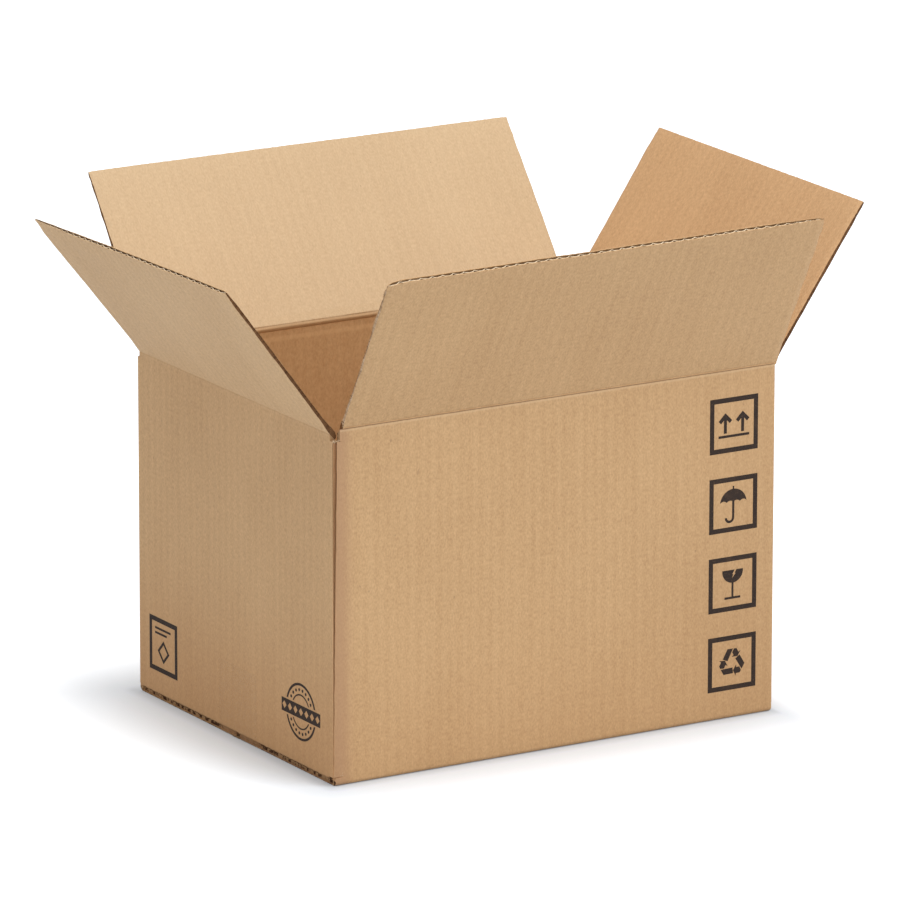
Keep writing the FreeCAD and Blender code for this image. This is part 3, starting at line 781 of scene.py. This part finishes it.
# The front wall's rim runs on to the corner at its right end, where the slot is only a slit.
# Its outline is given as distances in from the corner, along the front wall and through it.
RIM_END = [(0.0051, 0.0), (0.0030, 0.0), (0.0019, 0.0002), (0.0009, 0.0008), (0.0004, 0.0016),
           (0.0003, 0.0037), (0.0051, 0.0037)]
rim_mesh = bmesh.new()
rim_low = [rim_mesh.verts.new((half_length - in_x, in_y - half_width, slot_floor - SUNK))
           for in_x, in_y in RIM_END]
rim_high = [rim_mesh.verts.new((half_length - in_x, in_y - half_width, long_crease - in_y))
            for in_x, in_y in RIM_END]
rim_mesh.faces.new(rim_low)
rim_mesh.faces.new(rim_high)
for i in range(len(RIM_END)):
    after = (i + 1) % len(RIM_END)
    rim_mesh.faces.new([rim_low[i], rim_low[after], rim_high[after], rim_high[i]])
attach(board_piece(rim_mesh, "front_rim_end", [carton_paper]), "carton")


# Bottom tape. Clear film, pressed over the seam between the two long bottom flaps and turned
# up at both ends. It shows as a slight gloss over the board, and more over the seam's gap.
FILM_THICK = 0.0001
FILM_ON_WALL = 0.02
FILM_ON_BOTTOM = 0.16
FILM_OVER_GAP = 0.7
FILM_PALE = (214, 184, 140)
FILM_TAN = (190, 150, 104)
FILM_GRAIN = 60
WRINKLE_GRAIN = 90
WRINKLE_RELIEF = 0.0004
SEAM_MARGIN = 0.0003
TAPE_LIFT = 0.00003
NEARLY = 0.00001

film = Finish("clear_film", Roughness=0.18, Specular_IOR_Level=0.5)
film_place = film.where()
film_y, film_height = film.parts(film_place, "YZ")
underneath = film_height < 8 * FILM_THICK
over_gap = abs(film_y) < half_width - FLAP_LENGTH + SEAM_MARGIN
film.feed(film.surface, {
    "Alpha": FILM_ON_WALL + underneath * (FILM_ON_BOTTOM + over_gap * FILM_OVER_GAP),
    "Base Color": film.mix(film.grain(film_place, FILM_GRAIN), tint(*FILM_PALE), tint(*FILM_TAN)),
    "Normal": film.relief(film.grain(film_place, WRINKLE_GRAIN) * WRINKLE_RELIEF, 0.6)})

tape = from_solid("clear_tape", "bottom_tape")
for vert in tape.data.vertices:
    if abs(abs(vert.co.x) - half_length) < NEARLY:
        vert.co.x += math.copysign(TAPE_LIFT, vert.co.x)
    if abs(vert.co.z - FILM_THICK) < FILM_THICK / 2:
        vert.co.z -= TAPE_LIFT
paint(tape, film)
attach(tape, "carton")
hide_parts("bottom_tape")


# Printed marks. Dark ink from a rubber plate, laid on the front wall and on the left wall,
# a little thin where the paper's fibres stand up.
INK_DARK = (50, 37, 30)
INK_THIN = (120, 90, 64)

ink = Finish("printing_ink", Roughness=0.7, Specular_IOR_Level=0.3)
ink_place = ink.where()
thin_on_fibres = ink.grain(ink_place, FIBRE_GRAIN, 3).rise(0.52, 0.78) * 0.4
thin_in_clouds = ink.grain(ink_place, 120).rise(0.5, 0.8) * 0.15
thin = thin_on_fibres + thin_in_clouds
ink.feed(ink.surface, {"Base Color": ink.mix(thin, tint(*INK_DARK), tint(*INK_THIN))})
for name in ("front_marks", "end_marks"):
    paint(frame["nodes"][name], ink)


# Floor, light and camera. A white floor under soft studio light, seen from the front left,
# a little above the open flaps. The floor's painted shade beside the box follows its distance from it.
FLOOR_SIZE = 30
FLOOR_DROP = 0.0002
LIFT_FADE = (-0.01, 0.1)
LIFT_NEAR = (0.1, 0.1, 0.1)
LIFT_FAR = (0.6, 0.6, 0.6)
SHADE_FADE = (0.012, 0.0)
SHADE_FAR = (0.77, 0.82, 0.88)
SHADE_NEAR = (0.40, 0.42, 0.45)
SHADE_STRENGTH = 0.4
NARROWER_RIGHT = 1.5
SKY_STRENGTH = 0.56

floor_data = bpy.data.meshes.new("floor")
floor_data.from_pydata(
    [(x * FLOOR_SIZE, y * FLOOR_SIZE, -FLOOR_DROP) for x, y in ((-1, -1), (1, -1), (1, 1), (-1, 1))],
    [], [(0, 1, 2, 3)])
floor = bpy.data.objects.new("floor", floor_data)
bpy.context.collection.objects.link(floor)
ground = Finish("white_floor", Roughness=1.0, Specular_IOR_Level=0.0)
seen = ground.add("ShaderNodeLightPath", output="Is Camera Ray")
ground_x, ground_y = ground.parts(ground.where(), "XY")
clear_x = (abs(ground_x) - half_length).math("MAXIMUM", 0) * (1 + (ground_x > 0) * NARROWER_RIGHT)
clear_y = (abs(ground_y) - half_width).math("MAXIMUM", 0)
clearance = (clear_x * clear_x + clear_y * clear_y).math("SQRT")
# For the camera the floor glows, a painted light that keeps it white, and glows less near the box as a
# painted shadow.
lift = ground.mix(clearance.rise(*LIFT_FADE), LIFT_NEAR, LIFT_FAR)
# The floor's colour darkens at the box's foot, a painted contact shadow.
shade = ground.mix(clearance.rise(*SHADE_FADE) * SHADE_STRENGTH, SHADE_FAR, SHADE_NEAR)
ground.feed(ground.surface, {"Base Color": shade})
glow = ground.add("ShaderNodeEmission", {}, {"Color": lift, "Strength": 1})
plain = Signal(ground, ground.surface.outputs[0])
lifted = ground.add("ShaderNodeAddShader", {}, {0: plain, 1: glow})
shown = ground.add("ShaderNodeMixShader", {}, {0: seen, 1: plain, 2: lifted})
ground.tree.links.new(shown.socket, ground.tree.nodes["Material Output"].inputs["Surface"])
paint(floor, ground)

world = bpy.data.worlds.new("studio")
bpy.context.scene.world = world
world.use_nodes = True
sky = world.node_tree
backdrop = sky.nodes["Background"]
backdrop.inputs["Color"].default_value = (1, 1, 1, 1)
backdrop.inputs["Strength"].default_value = SKY_STRENGTH
white = sky.nodes.new("ShaderNodeBackground")
white.inputs["Color"].default_value = (1, 1, 1, 1)
rays = sky.nodes.new("ShaderNodeLightPath")
choice = sky.nodes.new("ShaderNodeMixShader")
sky.links.new(rays.outputs["Is Camera Ray"], choice.inputs[0])
sky.links.new(backdrop.outputs[0], choice.inputs[1])
sky.links.new(white.outputs[0], choice.inputs[2])
sky.links.new(choice.outputs[0], sky.nodes["World Output"].inputs["Surface"])


def lamp(name, place, size, power):
    """A square soft lamp that points at the middle of the box."""
    data = bpy.data.lights.new(name, "AREA")
    data.size = size
    data.energy = power
    holder = bpy.data.objects.new(name, data)
    bpy.context.collection.objects.link(holder)
    holder.location = place
    aim = Vector((0, 0, long_crease / 2)) - Vector(place)
    holder.rotation_euler = aim.to_track_quat("-Z", "Y").to_euler()


lamp("key", (0.9, -1.6, 2.2), 1.6, 34.5)
lamp("top", (-0.3, 0.2, 2.6), 2.0, 22)
lamp("side", (-2.6, -0.7, 1.6), 1.5, 6)

CAMERA_PLACE = (-3.07971, -5.10548, 1.76845)
CAMERA_RIGHT = Vector((0.85675, -0.51573, 0.00132))
CAMERA_UP = Vector((0.13217, 0.22203, 0.96604))
CAMERA_BACK = Vector((-0.49851, -0.82748, 0.25839))
lens = bpy.data.cameras.new("camera")
lens.sensor_width = 36
lens.lens = 370.78
lens.clip_end = 100
camera = bpy.data.objects.new("camera", lens)
bpy.context.collection.objects.link(camera)
turn = Matrix((CAMERA_RIGHT, CAMERA_UP, CAMERA_BACK)).transposed().to_4x4()
camera.matrix_world = Matrix.Translation(CAMERA_PLACE) @ turn
bpy.context.scene.camera = camera
bpy.context.scene.view_settings.view_transform = "Standard"
